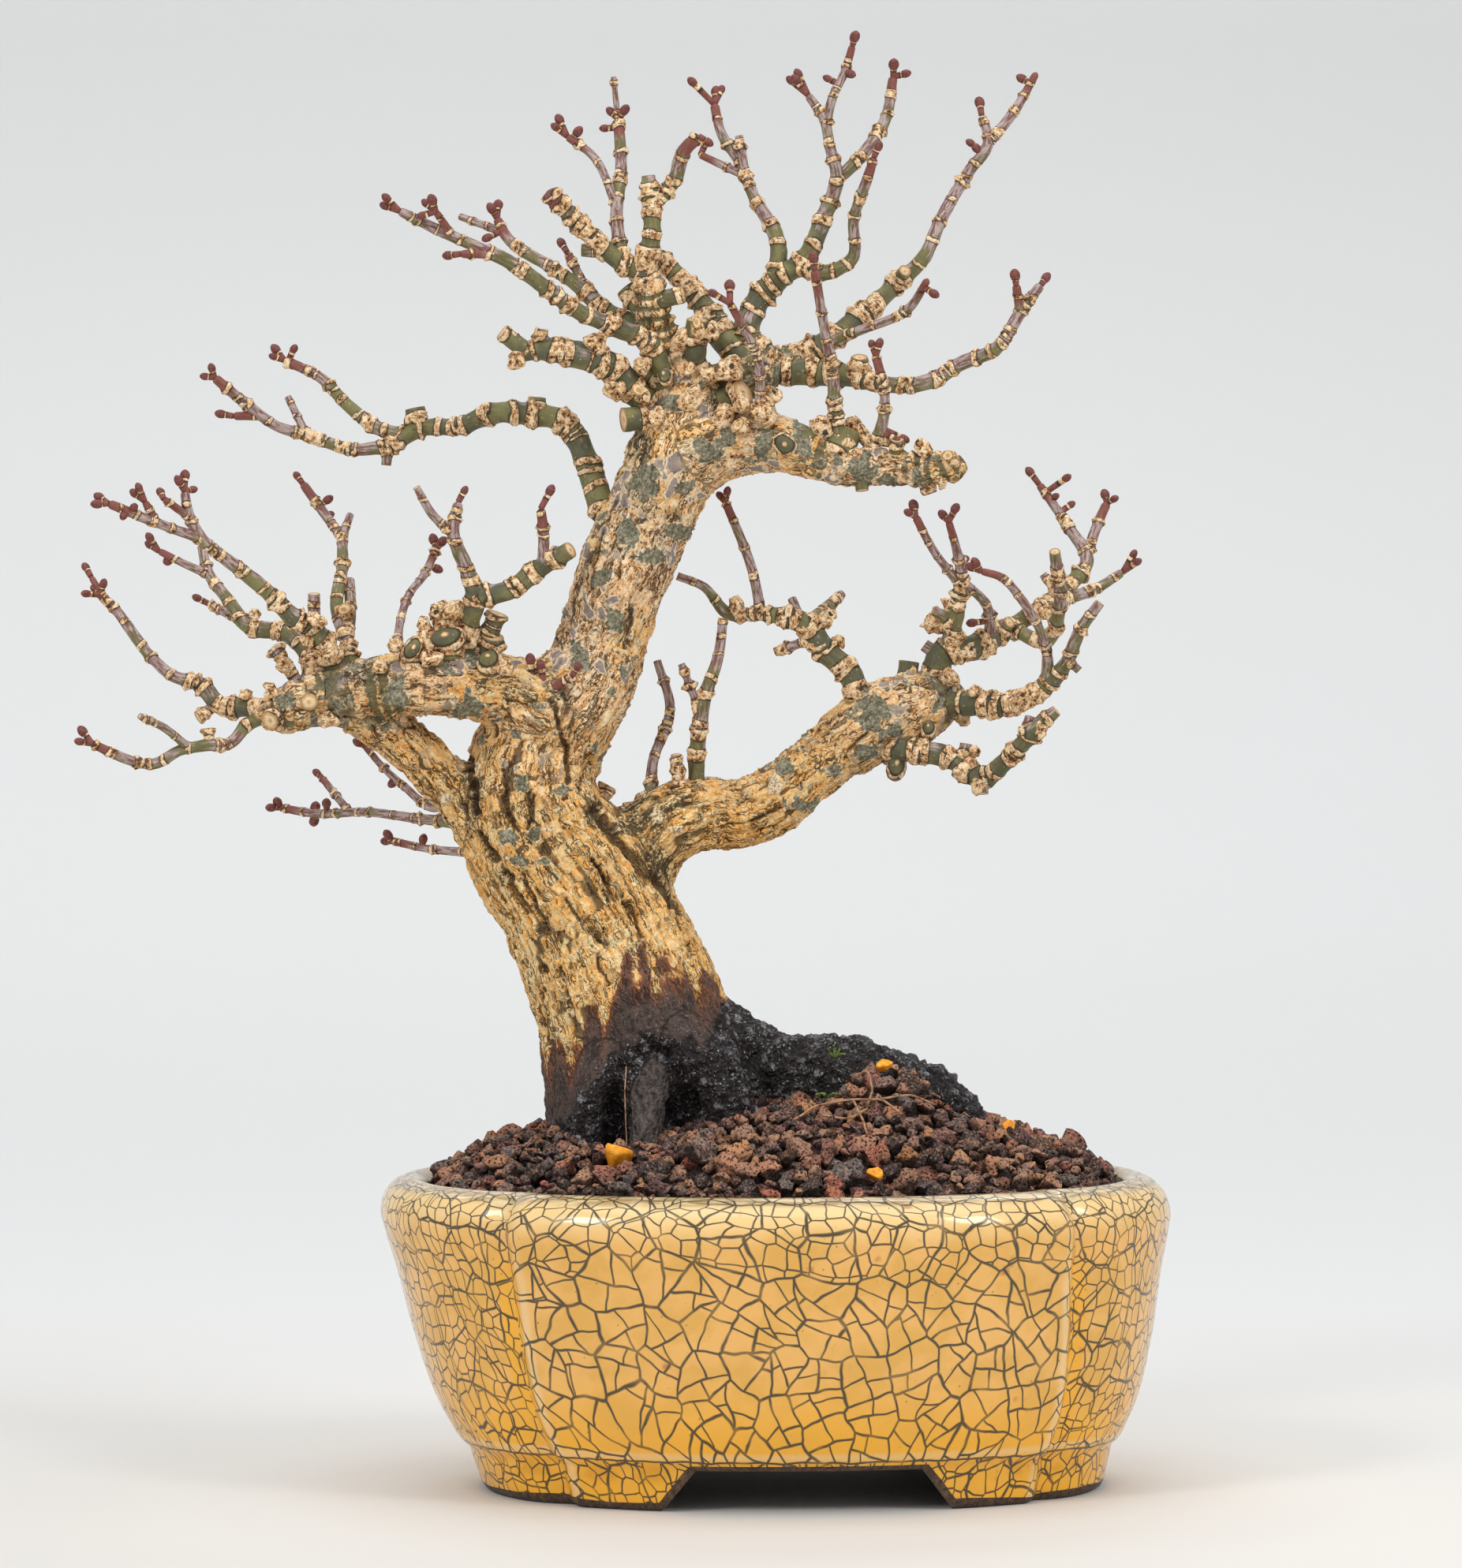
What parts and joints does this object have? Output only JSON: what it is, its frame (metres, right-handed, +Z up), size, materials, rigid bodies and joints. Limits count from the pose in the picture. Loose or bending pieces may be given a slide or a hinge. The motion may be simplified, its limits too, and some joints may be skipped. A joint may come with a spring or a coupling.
{
  "type": "dwarf japanese maple bonsai in glazed quatrefoil pot",
  "caption": "Leafless dwarf Japanese maple bonsai, leaning trunk with twiggy branches and buds, in lava gravel in a yellow crackle-glazed four-lobed pot.",
  "frame": {"origin": "middle of the object's box at the level the pot's feet stand on", "axes": "+Z up, the pot's long front side faces -Y, the heavier root runs towards +X"},
  "size_m": [0.2213, 0.1228, 0.2951],
  "materials": {
    "bark": "rough corky bark, tan to near black at the roots",
    "glaze": "glossy yellow ochre glaze with dark crackle",
    "lava_gravel": "loose porous lava grains",
    "yellow_grain": "waxy yellow orange grain",
    "plastic_mesh": "moulded mesh",
    "wire": "bare training wire"
  },
  "bodies": {
    "root": {"maple_tree": "bark", "pot": "glaze", "soil": "lava_gravel", "yellow_grain_front_left": "yellow_grain", "yellow_grain_root_top": "yellow_grain", "yellow_grain_right": "yellow_grain", "yellow_grain_front_right": "yellow_grain", "drain_mesh_left": "plastic_mesh", "drain_mesh_right": "plastic_mesh", "mesh_clip_left": "wire", "mesh_clip_right": "wire"}
  },
  "joints": []
}
